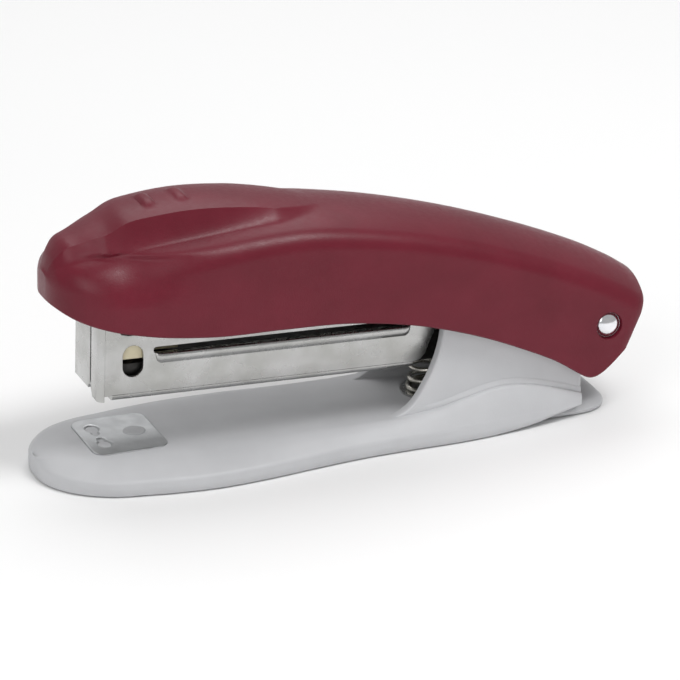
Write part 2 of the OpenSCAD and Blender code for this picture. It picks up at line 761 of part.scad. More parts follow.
// Pressed steel arm inside the cover: top plate, two flanges with ears round the rivet, and a front flange
module driver_arm() {
    flange_half = 6;
    color(dark_steel)
        at_hinge()
            difference() {
                union() {
                    difference() {
                        side_plate(-arm_out_y, arm_out_y)
                            arm_outline(0);
                        side_plate(-arm_out_y + arm_sheet, arm_out_y - arm_sheet)
                            arm_inside();
                    }
                    translate([arm_front_x - arm_sheet, -flange_half, 10.9])
                        cube([arm_sheet, 2 * flange_half, 5.5]);
                    translate([arm_front_x - arm_sheet, -flange_half, 15.6])
                        cube([2 * arm_sheet, 2 * flange_half, 0.8]);
                }
                for (side = [-1, 1])
                    translate([arm_front_x - 2, side * 11.2 - 5, 5])
                        cube([4.6, 10, 20]);
                cross_pin(rivet_r + running_gap, -20, 20);
                for (k = [0, 1])
                    translate([boss_x[k], 0, 0])
                        cylinder(r = boss_bore_r + 0.3, h = 30, $fn = round_fn);
                for (side = [-1, 1])
                    translate([arm_front_x - 3, side * blade_rivet_y, blade_rivet_z])
                        rotate([0, 90, 0])
                            cylinder(r = blade_rivet_r + 0.02, h = 8, $fn = round_fn);
                translate([leaf_x[1] - 3, 0, 0])
                    cylinder(r = leaf_rivet_r + 0.02, h = 30, $fn = round_fn);
            }
}

// Space between the arm's flanges, in the side view
module arm_inside() {
    polygon([
        [arm_front_x - 1, -20], [20, -20], [20, 4.5],
        for (k = [len(arm_top) - 1 : -1 : 0]) [arm_top[k][0] - (k == 0 ? 1 : 0), arm_top[k][1] - arm_sheet]
    ]);
}

blade_x = -100.4;
blade_t = 0.5;
blade_half = 6.35;
blade_low = 1;
blade_rivet_y = 3.5;
blade_rivet_z = 13.6;
blade_rivet_r = 0.9;

// Blade that drives one staple out of the magazine
module driver_blade() {
    color(nickel)
        at_hinge()
            difference() {
                translate([blade_x - blade_t, -blade_half, blade_low])
                    cube([blade_t, 2 * blade_half, 14.6]);
                for (side = [-1, 1])
                    translate([blade_x - 3, side * blade_rivet_y, blade_rivet_z])
                        rotate([0, 90, 0])
                            cylinder(r = blade_rivet_r + 0.02, h = 8, $fn = round_fn);
            }
}

// Two rivets that join the blade to the arm's front flange
module blade_rivets() {
    stack = blade_t + arm_sheet;
    color(dark_steel)
        at_hinge()
            for (side = [-1, 1])
                translate([blade_x - blade_t, side * blade_rivet_y, blade_rivet_z])
                    rotate([0, 90, 0])
                        union() {
                            translate([0, 0, -0.3])
                                cylinder(r = blade_rivet_r, h = stack + 0.7, $fn = round_fn);
                            translate([0, 0, -0.3])
                                cylinder(r = 1.5, h = 0.3, $fn = round_fn);
                            translate([0, 0, stack])
                                cylinder(r = 1.5, h = 0.4, $fn = round_fn);
                        }
}

// Underside of each screw head; the heads end just below the sloping top plate of the arm
arm_screw_low = [13.3, 9.1];

// Two screws that hold the arm up against the cover's bosses
module arm_screws() {
    color(dark_steel)
        at_hinge()
            for (k = [0, 1])
                translate([boss_x[k], 0, arm_screw_low[k]])
                    union() {
                        cylinder(r = 2.4, h = 1.1, $fn = round_fn);
                        cylinder(r = boss_bore_r - 0.02, h = 6.7, $fn = round_fn);
                    }
}

leaf_x = [-78, -44];
leaf_half = 3;
leaf_t = 0.4;
leaf_rivet_r = 0.9;
leaf_root_z = 10.9;

// Flat spring under the arm that lifts the handle off the magazine after each stroke
module leaf_spring() {
    color(nickel)
        at_hinge()
            difference() {
                union() {
                    side_plate(-leaf_half, leaf_half)
                        polygon([
                            [leaf_x[1], leaf_root_z + 0.4], [leaf_x[1] - 6, leaf_root_z + 0.85], [leaf_x[0] + 14, 8.6],
                            [leaf_x[0] + 3, magazine_high + 0.05], [leaf_x[0], magazine_high + 0.05],
                            [leaf_x[0], magazine_high + 0.05 + leaf_t], [leaf_x[0] + 3, magazine_high + 0.05 + leaf_t],
                            [leaf_x[0] + 14, 8.6 + leaf_t], [leaf_x[1] - 6, leaf_root_z + 0.85 + leaf_t],
                            [leaf_x[1], leaf_root_z + 0.4 + leaf_t]
                        ]);
                    translate([leaf_x[0], -mag_half, magazine_high + 0.05])
                        cube([3, 2 * mag_half, leaf_t]);
                }
                translate([leaf_x[1] - 3, 0, 0])
                    cylinder(r = leaf_rivet_r + 0.02, h = 30, $fn = round_fn);
            }
}

// Rivet that holds the leaf spring to the arm
module leaf_rivet() {
    color(dark_steel)
        at_hinge()
            translate([leaf_x[1] - 3, 0, leaf_root_z])
                union() {
                    translate([0, 0, -0.1])
                        cylinder(r = leaf_rivet_r, h = 2.4, $fn = round_fn);
                    translate([0, 0, -0.1])
                        cylinder(r = 1.6, h = 0.5, $fn = round_fn);
                }
}

base_shell();
bottom_cover();
cover_screws();
front_pad();
rear_pad();
anvil_plate();
anvil_stake();
spring_seat();
return_spring();
hinge_rivet();
spacer_washers();
magazine_channel();
staple_rail();
rail_rivets();
pivot_sleeve();
guide_rod();
rod_bracket();
follower();
follower_spring();
handle_cover();
driver_arm();
driver_blade();
blade_rivets();
arm_screws();
leaf_spring();
leaf_rivet();
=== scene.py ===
"""Looks of a desk stapler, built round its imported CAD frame."""

import math

import bmesh
import bpy
import numpy as np
from mathutils import Matrix, Vector


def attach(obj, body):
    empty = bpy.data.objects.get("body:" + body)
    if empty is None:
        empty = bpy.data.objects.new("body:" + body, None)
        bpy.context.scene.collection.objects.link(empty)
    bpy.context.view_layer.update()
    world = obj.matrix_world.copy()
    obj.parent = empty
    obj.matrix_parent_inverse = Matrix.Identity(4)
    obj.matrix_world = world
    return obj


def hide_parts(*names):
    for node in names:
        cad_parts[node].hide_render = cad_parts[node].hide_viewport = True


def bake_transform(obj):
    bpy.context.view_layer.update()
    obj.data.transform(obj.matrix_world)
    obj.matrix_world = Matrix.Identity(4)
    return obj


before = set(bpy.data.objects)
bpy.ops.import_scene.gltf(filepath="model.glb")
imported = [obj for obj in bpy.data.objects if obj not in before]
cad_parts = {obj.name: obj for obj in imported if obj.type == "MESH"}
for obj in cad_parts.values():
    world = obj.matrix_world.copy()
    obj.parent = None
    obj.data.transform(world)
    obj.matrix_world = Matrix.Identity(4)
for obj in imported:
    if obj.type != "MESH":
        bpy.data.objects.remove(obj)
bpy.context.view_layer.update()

MM = 0.001
HINGE = Vector((52.6, 0, 19.5))
TILT = math.radians(1.9)


# ---- Smooth curves through a few [position, value] points ----


def curve(table, x):
    """Smooth value of a table at x, which may be an array."""
    xs, vs = np.array(table, float).T
    slopes = np.empty_like(vs)
    slopes[1:-1] = (vs[2:] - vs[:-2]) / (xs[2:] - xs[:-2])
    slopes[0] = (vs[1] - vs[0]) / (xs[1] - xs[0])
    slopes[-1] = (vs[-1] - vs[-2]) / (xs[-1] - xs[-2])
    i = np.clip(np.searchsorted(xs, x, side="right") - 1, 0, len(xs) - 2)
    h = xs[i + 1] - xs[i]
    s = (x - xs[i]) / h
    return (
        (2 * s**3 - 3 * s**2 + 1) * vs[i]
        + (s**3 - 2 * s**2 + s) * h * slopes[i]
        + (3 * s**2 - 2 * s**3) * vs[i + 1]
        + (s**3 - s**2) * h * slopes[i + 1]
    )


def unit(s):
    return min(max(s, 0.0), 1.0)


def ease(s):
    s = unit(s)
    return s * s * (3 - 2 * s)


def mix(a, b, s):
    return a + (b - a) * s


def bell(x, middle, width):
    return math.exp(-(((x - middle) / width) ** 2))


def end_round(s):
    """Plan rounding of an end: 0 at the tip, 1 from s = 1 on."""
    return 1.0 if s >= 1 else math.sqrt(max(1 - (1 - max(s, 0)) ** 2, 0))


def stations(x0, x1, count):
    """Places from x0 to x1, close together at both ends."""
    return [mix(x0, x1, 0.5 - 0.5 * math.cos(math.pi * i / count)) for i in range(count + 1)]


# ---- Procedural materials ----


class Finish:
    """A principled material whose colour, roughness and bump come from noise in the piece's own space."""

    def __init__(self, name):
        self.material = bpy.data.materials.new(name)
        self.material.use_nodes = True
        self.tree = self.material.node_tree
        self.shader = self.tree.nodes["Principled BSDF"]
        self.place = self.tree.nodes.new("ShaderNodeTexCoord").outputs["Object"]

    def set(self, **values):
        for name, value in values.items():
            self.shader.inputs[name.replace("_", " ")].default_value = value
        return self

    def link(self, source, target):
        self.tree.links.new(source, target)
        return source

    def stretched(self, scale):
        node = self.tree.nodes.new("ShaderNodeMapping")
        node.inputs["Scale"].default_value = scale
        self.link(self.place, node.inputs["Vector"])
        return node.outputs["Vector"]

    def noise(self, size, detail=2.0, stretch=None):
        """Noise whose blotches are about size metres across."""
        node = self.tree.nodes.new("ShaderNodeTexNoise")
        node.inputs["Scale"].default_value = 1 / size
        node.inputs["Detail"].default_value = detail
        self.link(self.stretched(stretch) if stretch else self.place, node.inputs["Vector"])
        return node.outputs["Fac"]

    def ramp(self, value, low, high, start=0.3, end=0.7):
        node = self.tree.nodes.new("ShaderNodeValToRGB")
        for element, place, colour in zip(node.color_ramp.elements, (start, end), (low, high)):
            element.position = place
            element.color = (*colour, 1)
        self.link(value, node.inputs["Fac"])
        return node.outputs["Color"]

    def spread(self, value, low, high):
        node = self.tree.nodes.new("ShaderNodeMapRange")
        node.inputs["From Min"].default_value = 0.3
        node.inputs["From Max"].default_value = 0.7
        node.inputs["To Min"].default_value = low
        node.inputs["To Max"].default_value = high
        self.link(value, node.inputs["Value"])
        return node.outputs["Result"]

    def bump(self, *layers):
        """Each layer is (height, distance in metres)."""
        normal = None
        for height, distance in layers:
            node = self.tree.nodes.new("ShaderNodeBump")
            node.inputs["Distance"].default_value = distance
            self.link(height, node.inputs["Height"])
            if normal is not None:
                self.link(normal, node.inputs["Normal"])
            normal = node.outputs["Normal"]
        self.link(normal, self.shader.inputs["Normal"])
        return self

    def colour(self, source):
        self.link(source, self.shader.inputs["Base Color"])
        return self

    def rough(self, source):
        self.link(source, self.shader.inputs["Roughness"])
        return self


def moulded(name, low, high, rough, grain, depth, shine=0.5):
    """Moulded plastic with a spark-eroded grain and faint flow clouds."""
    f = Finish(name)
    f.colour(f.ramp(f.noise(0.009, 3), low, high))
    f.rough(f.spread(f.noise(0.0011, 3), rough - 0.04, rough + 0.05))
    f.bump((f.noise(grain, 3), depth), (f.noise(0.02, 1), 0.00006))
    return f.set(Specular_IOR_Level=shine).material


def plated(name, low, high, rough, blotch=0.004, brushed=(1, 1, 1), depth=0.000012):
    """Plated sheet: cloudy colour, fine drawn lines and small dents."""
    f = Finish(name)
    f.colour(f.ramp(f.noise(blotch, 4), low, high, 0.36, 0.66))
    f.rough(f.spread(f.noise(blotch * 0.6, 5), rough - 0.06, rough + 0.08))
    f.bump((f.noise(0.0006, 4, brushed), depth), (f.noise(0.011, 1), 0.00009))
    return f.set(Metallic=1.0).material


burgundy = moulded("burgundy_plastic", (0.122, 0.0085, 0.019), (0.145, 0.011, 0.024), 0.36,
                   grain=0.00032, depth=0.000022, shine=0.28)
light_grey = moulded("light_grey_plastic", (0.52, 0.525, 0.54), (0.56, 0.565, 0.58), 0.52,
                     grain=0.0004, depth=0.000016)
nickel = plated("nickel_sheet", (0.43, 0.43, 0.415), (0.53, 0.53, 0.525), 0.25,
                blotch=0.007, brushed=(0.25, 1, 1))
# Nearly black sheet: painted shade for the inside of the magazine channel, the staple rail and the driver
# blade behind the slot.
channel_shade_sheet = plated("painted_shade_sheet", (0.035, 0.034, 0.033), (0.07, 0.068, 0.065), 0.45)
anvil_steel = plated("anvil_steel", (0.50, 0.51, 0.52), (0.57, 0.58, 0.59), 0.38, blotch=0.003)
chrome = plated("bright_rivet", (0.80, 0.81, 0.84), (0.90, 0.90, 0.92), 0.13, blotch=0.002, depth=0.000006)
zinc = plated("zinc_screw", (0.42, 0.41, 0.38), (0.56, 0.55, 0.52), 0.34, blotch=0.0015)
spring_steel = plated("spring_steel", (0.55, 0.53, 0.48), (0.74, 0.72, 0.66), 0.22, blotch=0.0012)
cream = moulded("cream_plastic", (0.70, 0.62, 0.42), (0.76, 0.69, 0.49), 0.42,
                grain=0.0005, depth=0.00001)
rubber = moulded("grip_rubber", (0.012, 0.012, 0.013), (0.022, 0.022, 0.024), 0.72,
                 grain=0.0003, depth=0.00004)


# ---- Mesh helpers: points are given in millimetres ----


def placing(tilted):
    """From millimetres to the frame's metres, and for a tilted piece from the rivet axis to its place."""
    scale = Matrix.Scale(MM, 4)
    return scale @ Matrix.Translation(HINGE) @ Matrix.Rotation(TILT, 4, "Y") if tilted else scale


def as_mesh(verts, faces):
    mesh = bpy.data.meshes.new("part")
    mesh.from_pydata([tuple(v) for v in verts], [], [tuple(f) for f in faces])
    return mesh


def put(name, mesh, body, material, sharp=35, tilted=False, replaces=()):
    """Makes a mesh a piece that rides on a body. A tilted one is drawn about the rivet axis, level."""
    mesh.name = name
    mesh.transform(placing(tilted))
    work = bmesh.new()
    work.from_mesh(mesh)
    bmesh.ops.remove_doubles(work, verts=work.verts, dist=1e-7)
    bmesh.ops.recalc_face_normals(work, faces=work.faces)
    work.to_mesh(mesh)
    work.free()
    mesh.shade_smooth()
    mesh.set_sharp_from_angle(angle=math.radians(sharp))
    mesh.materials.clear()
    mesh.materials.append(material)
    thing = bpy.data.objects.new(name, mesh)
    bpy.context.collection.objects.link(thing)
    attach(thing, body)
    if replaces:
        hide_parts(*replaces)
    return thing


def grid_faces(rows, cols, start=0, flip=False, closed=False):
    """Quads between rows of cols points; closed joins each row's last point to its first."""
    out = []
    for i in range(rows - 1):
        for j in range(cols if closed else cols - 1):
            k = (j + 1) % cols
            quad = (i * cols + j, (i + 1) * cols + j, (i + 1) * cols + k, i * cols + k)
            out.append([start + q for q in (quad[::-1] if flip else quad)])
    return out


def shell(outer, inner):
    """Points and faces of a closed skin between two grids with the same rows; their columns may differ."""
    rows, cols, inner_cols = len(outer), len(outer[0]), len(inner[0])
    verts = [p for row in outer for p in row] + [p for row in inner for p in row]
    base = rows * cols
    faces = grid_faces(rows, cols) + grid_faces(rows, inner_cols, base, flip=True)
    for i in range(rows - 1):
        o, n = i * cols, base + i * inner_cols
        faces.append([o, n, n + inner_cols, o + cols])
        o, n = o + cols - 1, n + inner_cols - 1
        faces.append([o, o + cols, n + inner_cols, n])
    last = rows - 1
    for row, sign in ((0, 1), (last, -1)):
        faces.append([row * cols + j for j in range(cols)][::sign])
        faces.append([base + row * inner_cols + j for j in range(inner_cols)][:: -sign])
    o, n = last * cols, base + last * inner_cols
    faces.append([0, cols - 1, base + inner_cols - 1, base])
    faces.append([o, n, n + inner_cols - 1, o + cols - 1])
    return verts, faces


def sheet(outline, thickness, holes, bevel):
    """A sheet with round edges that lies on the middle plane Z = 0. Gives a mesh in millimetres."""
    data = bpy.data.curves.new("outline", "CURVE")
    data.dimensions = "2D"
    data.fill_mode = "BOTH"
    data.extrude = thickness / 2 - bevel
    data.bevel_depth = bevel
    data.bevel_resolution = 2
    data.offset = -bevel
    for loop in (outline, *holes):
        spline = data.splines.new("POLY")
        spline.points.add(len(loop) - 1)
        for point, (a, b) in zip(spline.points, loop):
            point.co = (a, b, 0, 1)
        spline.use_cyclic_u = True
    holder = bpy.data.objects.new("outline", data)
    mesh = bpy.data.meshes.new_from_object(holder)
    bpy.data.objects.remove(holder)
    return mesh


def plate(outline, y0, y1, holes=(), bevel=0.12):
    """A sheet across Y whose outline is [x, z] points."""
    mesh = sheet(outline, y1 - y0, holes, bevel)
    mesh.transform(Matrix.Translation((0, (y0 + y1) / 2, 0)) @ Matrix.Rotation(math.pi / 2, 4, "X"))
    return mesh


def cross_plate(outline, x0, x1, bevel):
    """A sheet across X whose outline is [y, z] points."""
    mesh = plate(outline, (x0 - x1) / 2, (x1 - x0) / 2, bevel=bevel)
    mesh.transform(Matrix.Translation(((x0 + x1) / 2, 0, 0)) @ Matrix.Rotation(math.pi / 2, 4, "Z"))
    return mesh


def level_plate(outline, z0, z1, holes=(), bevel=0.2):
    """A level sheet whose outline is [x, y] points."""
    mesh = sheet(outline, z1 - z0, holes, bevel)
    mesh.transform(Matrix.Translation((0, 0, (z0 + z1) / 2)))
    return mesh


def joined(meshes):
    """One mesh out of several."""
    work = bmesh.new()
    for mesh in meshes:
        work.from_mesh(mesh)
    out = bpy.data.meshes.new("joined")
    work.to_mesh(out)
    work.free()
    return out


def arc(cx, cz, r, start, end, count=10):
    """Points on an arc, angles in degrees."""
    angles = [math.radians(mix(start, end, k / count)) for k in range(count + 1)]
    return [(cx + r * math.cos(a), cz + r * math.sin(a)) for a in angles]


def lathe(profile, sides=64):
    """Points and faces of a profile [radius, height] turned about the Z axis, closed at both ends."""
    verts = [
        (r * math.cos(2 * math.pi * s / sides), r * math.sin(2 * math.pi * s / sides), z)
        for r, z in profile
        for s in range(sides)
    ]
    faces = grid_faces(len(profile), sides, closed=True)
    faces.append(list(range(sides)))
    top = (len(profile) - 1) * sides
    faces.append([top + s for s in range(sides)][::-1])
    return verts, faces


def tube(path, r, sides=12):
    """Points and faces of a wire of radius r along a path."""
    path = np.array(path, float)
    way = np.gradient(path, axis=0)
    way /= np.linalg.norm(way, axis=1)[:, None]
    up = np.array([1.0, 0, 0]) if abs(way[0][2]) > 0.7 else np.array([0, 0, 1.0])
    verts = []
    for p, t in zip(path, way):
        u = np.cross(up, t)
        if np.linalg.norm(u) < 1e-6:
            u = np.cross(np.array([0, 1.0, 0]), t)
        u /= np.linalg.norm(u)
        v = np.cross(t, u)
        for s in range(sides):
            a = 2 * math.pi * s / sides
            verts.append(p + r * (math.cos(a) * u + math.sin(a) * v))
    faces = grid_faces(len(path), sides, closed=True)
    faces.append(list(range(sides)))
    faces.append([(len(path) - 1) * sides + s for s in range(sides)][::-1])
    return verts, faces


def cut(thing, *tools):
    """Cuts tool meshes (in metres, row frame) out of a piece and keeps its looks."""
    for mesh in tools:
        tool = bpy.data.objects.new("tool", mesh)
        bpy.context.collection.objects.link(tool)
        step = thing.modifiers.new("cut", "BOOLEAN")
        step.operation = "DIFFERENCE"
        step.solver = "EXACT"
        step.object = tool
        bpy.context.view_layer.update()
        graph = bpy.context.evaluated_depsgraph_get()
        done = bpy.data.meshes.new_from_object(thing.evaluated_get(graph))
        thing.modifiers.clear()
        thing.data = done
        bpy.data.objects.remove(tool)
    thing.data.shade_smooth()
    thing.data.set_sharp_from_angle(angle=math.radians(35))


def rod_tool(r, centre, axis, length, sides=64):
    """A cylinder for cutting, in metres."""
    mesh = as_mesh(*lathe([(r, -length / 2), (r, length / 2)], sides))
    turn = Vector((0, 0, 1)).rotation_difference(Vector(axis)).to_matrix().to_4x4()
    mesh.transform(Matrix.Scale(MM, 4) @ Matrix.Translation(Vector(centre)) @ turn)
    work = bmesh.new()
    work.from_mesh(mesh)
    bmesh.ops.recalc_face_normals(work, faces=work.faces)
    work.to_mesh(mesh)
    work.free()
    return mesh


def box_tool(low, high):
    """A block for cutting, in metres."""
    work = bmesh.new()
    bmesh.ops.create_cube(work, size=1)
    mesh = bpy.data.meshes.new("block")
    work.to_mesh(mesh)
    work.free()
    low, high = Vector(low), Vector(high)
    size = Matrix.Diagonal((*(high - low), 1))
    mesh.transform(Matrix.Scale(MM, 4) @ Matrix.Translation((low + high) / 2) @ size)
    return mesh


# ---- Handle cover ----

NOSE_X, TAIL_X = -58.5, 62.5
NOSE_LEN, TAIL_LEN = 12, 2.5
COVER_WALL = 1.7
COVER_HALF_W = [[-58.5, 13.2], [-50, 13.7], [-38, 14.7], [-28, 15.2], [-16, 15.3], [-2, 15.1], [12, 14.8],
                [26, 14.5], [40, 14.4], [55, 14.3], [62.5, 14]]
CROWN_H = [[-58.5, 41.5], [-57, 43.9], [-54, 45.6], [-46, 47.2], [-38, 48.3], [-28, 49], [-18, 49.5],
           [-10, 49.4], [-2, 48.4], [12, 45.7], [26, 41.9], [40, 36.9], [52, 31.8], [59, 28.1], [62.5, 25.8]]
RIM_H = [[-58.5, 36.2], [-55, 34.4], [-50, 32.8], [-44, 31.3], [-38, 30.2], [-28, 29.2], [-16, 28.9],
         [-2, 28.1], [12, 25.5], [26, 20.9], [40, 14.6], [49, 10.4], [54, 9.2], [58.5, 10.3], [62.5, 14]]
CROWN_DROP = [[-58.5, 2.2], [-40, 2.4], [-20, 2], [0, 1.8], [30, 2.2], [62.5, 2.6]]
SHOULDER_R = [[-58.5, 4], [-50, 6], [-40, 5.4], [-20, 4.6], [10, 4.2], [62.5, 4.4]]
PAD_H = [[-58.2, 0], [-56.5, 1.1], [-55, 1.8], [-52.5, 2], [-50, 2.5], [-47, 3.2], [-43.5, 4.4], [-40, 4.6],
         [-30, 4.3], [-20, 2.8], [-12, 1.2], [-4, 0]]
PAD_HALF = [[-58, 3.4], [-52, 4.6], [-46, 6.8], [-42, 7.8], [-34, 8.4], [-24, 8.4], [-14, 7.2], [-8, 5.2],
            [-4, 2.6]]
NUBS = (-38.0, -31.5)
NUB_HALF, NUB_R, NUB_RISE = 3.6, 1.15, 0.75
SCOOP_X, SCOOP_LEN, SCOOP_DEPTH = -44, 8, 2.2
SCOOP_TOP, SCOOP_DEEPEST, SCOOP_RUNOUT = 46.2, 44.4, 8
OPENING_LOW, OPENING_HIGH = (46.6, -12.2, 0), (66.6, 12.2, 19.6)
BORE_R, RECESS_R, RECESS_Y = 2.05, 2.8, 15.55
BOSSES = ((-82, 15.6), (-34, 12))  # place along the row and height of the foot, from the rivet axis


def cover_half(x, inset):
    """Half the cover's width, drawn in at the nose and slightly at the tail."""
    nose = mix(0.1, 1, end_round((x - NOSE_X - inset) / NOSE_LEN))
    tail = mix(0.94, 1, end_round((TAIL_X - inset - x) / TAIL_LEN))
    return (float(curve(COVER_HALF_W, x)) - inset) * nose * tail


def pad_top(x):
    """How far the thumb pad stands out of the crown."""
    return float(curve(PAD_H, x)) if PAD_H[0][0] < x < PAD_H[-1][0] else 0.0


def nub(x, y):
    """Height of the two small ribs across the pad."""
    if abs(y) > NUB_HALF:
        return 0.0
    across = math.sqrt(max(1 - (y / NUB_HALF) ** 4, 0))
    return sum(NUB_RISE * across * math.sqrt(max(1 - ((x - n) / NUB_R) ** 2, 0)) for n in NUBS)


def cover_row(x, inset, fine):
    """One section of the cover, from the rim on +Y over the top to the rim on -Y."""
    w = cover_half(x, inset)
    top = float(curve(CROWN_H, x)) - inset
    rim = float(curve(RIM_H, x))
    drop = min(float(curve(CROWN_DROP, x)), 0.16 * w)
    r = min(float(curve(SHOULDER_R, x)) - inset, 0.55 * w)
    wall = 0.97 * w
    flank = math.degrees(math.atan(2 * drop / (wall - 0.6 * r)))
    edge = wall - r * (1 - math.sin(math.radians(flank)))
    middle = max(top - drop - r * math.cos(math.radians(flank)), rim + 0.5)
    lift = pad_top(x) if fine else 0.45 * pad_top(x)
    pad_x = min(max(x, PAD_HALF[0][0]), PAD_HALF[-1][0])
    pad_edge = min(float(curve(PAD_HALF, pad_x)), 0.62 * edge)
    foot = min(pad_edge + (2.6 if fine else 4), 0.9 * edge)
    steps = 10 if fine else 4
    half = [(mix(w, wall, k / steps), mix(rim, middle, k / steps)) for k in range(steps + 1)]
    turns = 12 if fine else 4
    for k in range(1, turns):
        a = math.radians((90 - flank) * k / turns)
        half.append((wall - r * (1 - math.cos(a)), middle + r * math.sin(a)))

    def crown(y):
        return top - drop * (y / edge) ** 2

    outside = 6 if fine else 3
    for k in range(outside):
        y = mix(edge, foot, k / outside)
        half.append((y, crown(y)))
    wall_steps = 8 if fine else 3
    for k in range(wall_steps):
        y = mix(foot, pad_edge, k / wall_steps)
        half.append((y, crown(y) + lift * (k / wall_steps) ** 1.7))
    crest = 12 if fine else 4
    for k in range(crest):
        y = mix(pad_edge, 0, k / crest)
        half.append((y, crown(y) + lift + (nub(x, y) if fine else 0)))
    if fine:
        half = [scooped(x, y, z) for y, z in half]
        half.insert(1, (w, rim + 0.3))
        half[0] = (w - 0.25, rim)
    lean = 0.5 * unit((x - 36) / 26.5) ** 2
    near = [(x + lean * (z - top), y, z) for y, z in half]
    middle_point = (x, 0, top + lift + (nub(x, 0) if fine else 0))
    return near + [middle_point] + [(px, -y, z) for px, y, z in reversed(near)]


def scooped(x, y, z):
    """Finger scoop in the shoulder behind the nose: steep at its top, running out gently below."""
    depth = SCOOP_DEPTH * bell(x, SCOOP_X, SCOOP_LEN) * ease((y - 4) / 4)
    return y - depth * ease((SCOOP_TOP - z) / 1.6) * (1 - ease((SCOOP_DEEPEST - z) / SCOOP_RUNOUT)), z


def handle_cover():
    """Hollow cover with the rivet bores and the opening between the cheeks."""
    rows = 300
    inner_x = stations(NOSE_X + COVER_WALL, TAIL_X - COVER_WALL, rows)
    skin = shell(
        [cover_row(x, 0, True) for x in stations(NOSE_X, TAIL_X, rows)],
        [cover_row(x, COVER_WALL, False) for x in inner_x],
    )
    cover = put("handle_cover_moulding", as_mesh(*skin), "handle", burgundy, 40,
                replaces=("handle_cover",))
    recesses = [rod_tool(RECESS_R, HINGE + Vector((0, side * RECESS_Y, 0)), (0, 1, 0), 5) for side in (-1, 1)]
    cut(cover, rod_tool(BORE_R, HINGE, (0, 1, 0), 40), *recesses, box_tool(OPENING_LOW, OPENING_HIGH))


def cover_bosses():
    """Two screw posts that stand under the roof of the cover."""
    bore_r, foot_r, head_r, roof = 1.25, 3, 3.1, 0.9
    parts = []
    for x, low in BOSSES:
        crown = float(curve(CROWN_H, HINGE.x + x)) + pad_top(HINGE.x + x)
        top = crown - roof - HINGE.z + x * math.sin(TILT)
        post = as_mesh(*lathe([(bore_r, low), (foot_r, low), (head_r, top)], 32))
        post.transform(Matrix.Translation((x, 0, 0)))
        parts.append(post)
    put("cover_bosses", joined(parts), "handle", burgundy, tilted=True)


# ---- Base ----

BASE_TIP_X, BASE_REAR_X = -61.2, 47.7
BASE_TIP_LEN = 16
BASE_WALL = 1.8
PLATFORM_H, SIDE_WALL_H, BASE_CLEAR = 5.9, 3.2, 0.3
CHEEK_Y, CHEEK_T = 11.7, 2.3
BASE_HALF_W = [[-62.5, 16], [-46.5, 17], [-39, 18.3], [-30, 19.1], [-19.5, 18.4], [-9.5, 17], [0, 15.9],
               [10, 15.5], [21, 15.4], [32, 14.4], [44, 12.9], [47.7, 12.5]]
BEVEL_W = [[-62.5, 3], [-55, 5.5], [-45, 7.2], [-30, 7.6], [-15, 5.6], [0, 3.7], [20, 2.6], [30, 1.7],
           [40, 0.7], [47.7, 0.25]]
FLOOR_H = [[-62.5, -2.3], [-60, -1], [-57, -0.2], [-53, 0], [0, 0], [20, -0.3], [47.7, -0.4]]
RIDGE_H = [[-62.5, 0], [4, 0], [10, 0.1], [17, 0.9], [22.5, 2.2], [28, 3.4], [33, 3.6], [38.4, 2.6],
           [43, 1.2], [47.7, -0.4]]
LOWER_EDGE = [[-62.5, 0], [20, 0], [28, 0], [37, 0.7], [42.4, 1.7], [47.7, 2.7]]


def base_half(x, inset):
    """Half the base's width, rounded at the tip."""
    tip = mix(0.08, 1, end_round((x - BASE_TIP_X - inset) / BASE_TIP_LEN))
    return (float(curve(BASE_HALF_W, x)) - inset) * tip


def base_row(x, inset):
    """One section of the base, from the lower edge on +Y over the platform to the lower edge on -Y."""
    w = base_half(x, inset)
    low = BASE_CLEAR + max(float(curve(LOWER_EDGE, x)), 0)
    rise = float(curve(FLOOR_H, x))
    fall = min(rise, 0) if x > 4 else 0
    floor = PLATFORM_H + rise - inset
    ridge = floor + (0 if inset else max(float(curve(RIDGE_H, x)) - fall, 0))
    wall = max(min(SIDE_WALL_H - 0.3 * inset, floor - 0.3), low + 0.3)
    bevel = min(float(curve(BEVEL_W, x)), 0.45 * w)
    crest = max(w - bevel, 0.4 * w)
    half = [(w - 0.2, low), (w, low + 0.25), (w, mix(low, wall, 0.5))]
    half += rounded(half[-1], (0.994 * w, wall), (crest, ridge), 0.9 * min(1, bevel / 2))
    slope = (mix(w, crest, 0.5), mix(wall, ridge, 0.62))
    half.append((slope[0] + 0.012 * w, slope[1]))
    half += rounded(slope, (crest, ridge), (0.68 * crest, ridge), mix(2, 0.7, ease(x / 8)))
    edge = half[-1][0]
    fillet = 0.0 if inset else 1.5 * ease((x - 8) / 6)
    gaps = (1.5, 1.1, 0.75, 0.45, 0.2, 0.05)
    half += [(min(CHEEK_Y + gap, edge), ridge + hollow(fillet, gap)) for gap in gaps]
    inside = CHEEK_Y - CHEEK_T
    half += [(min(inside - gap, 0.8 * crest - gap), floor + hollow(fillet, gap)) for gap in reversed(gaps)]
    half.append((0.35 * crest, floor))
    return [(x, y, z) for y, z in half] + [(x, 0, floor)] + [(x, -y, z) for y, z in reversed(half)]


def hollow(r, gap):
    """Height of a concave fillet of radius r at a gap from the wall."""
    return r - math.sqrt(r * r - (r - gap) ** 2) if gap < r else 0.0


def rounded(a, corner, b, r, count=5):
    """Points of a corner between two straight runs, rounded."""
    a, c, b = Vector(a), Vector(corner), Vector(b)
    u, v = a - c, b - c
    reach = min(r, 0.45 * u.length, 0.45 * v.length)
    start, end = c + u.normalized() * reach, c + v.normalized() * reach
    out = []
    for k in range(count + 1):
        s = k / count
        p = (1 - s) ** 2 * start + 2 * s * (1 - s) * c + s * s * end
        out.append((p.x, p.y))
    return out


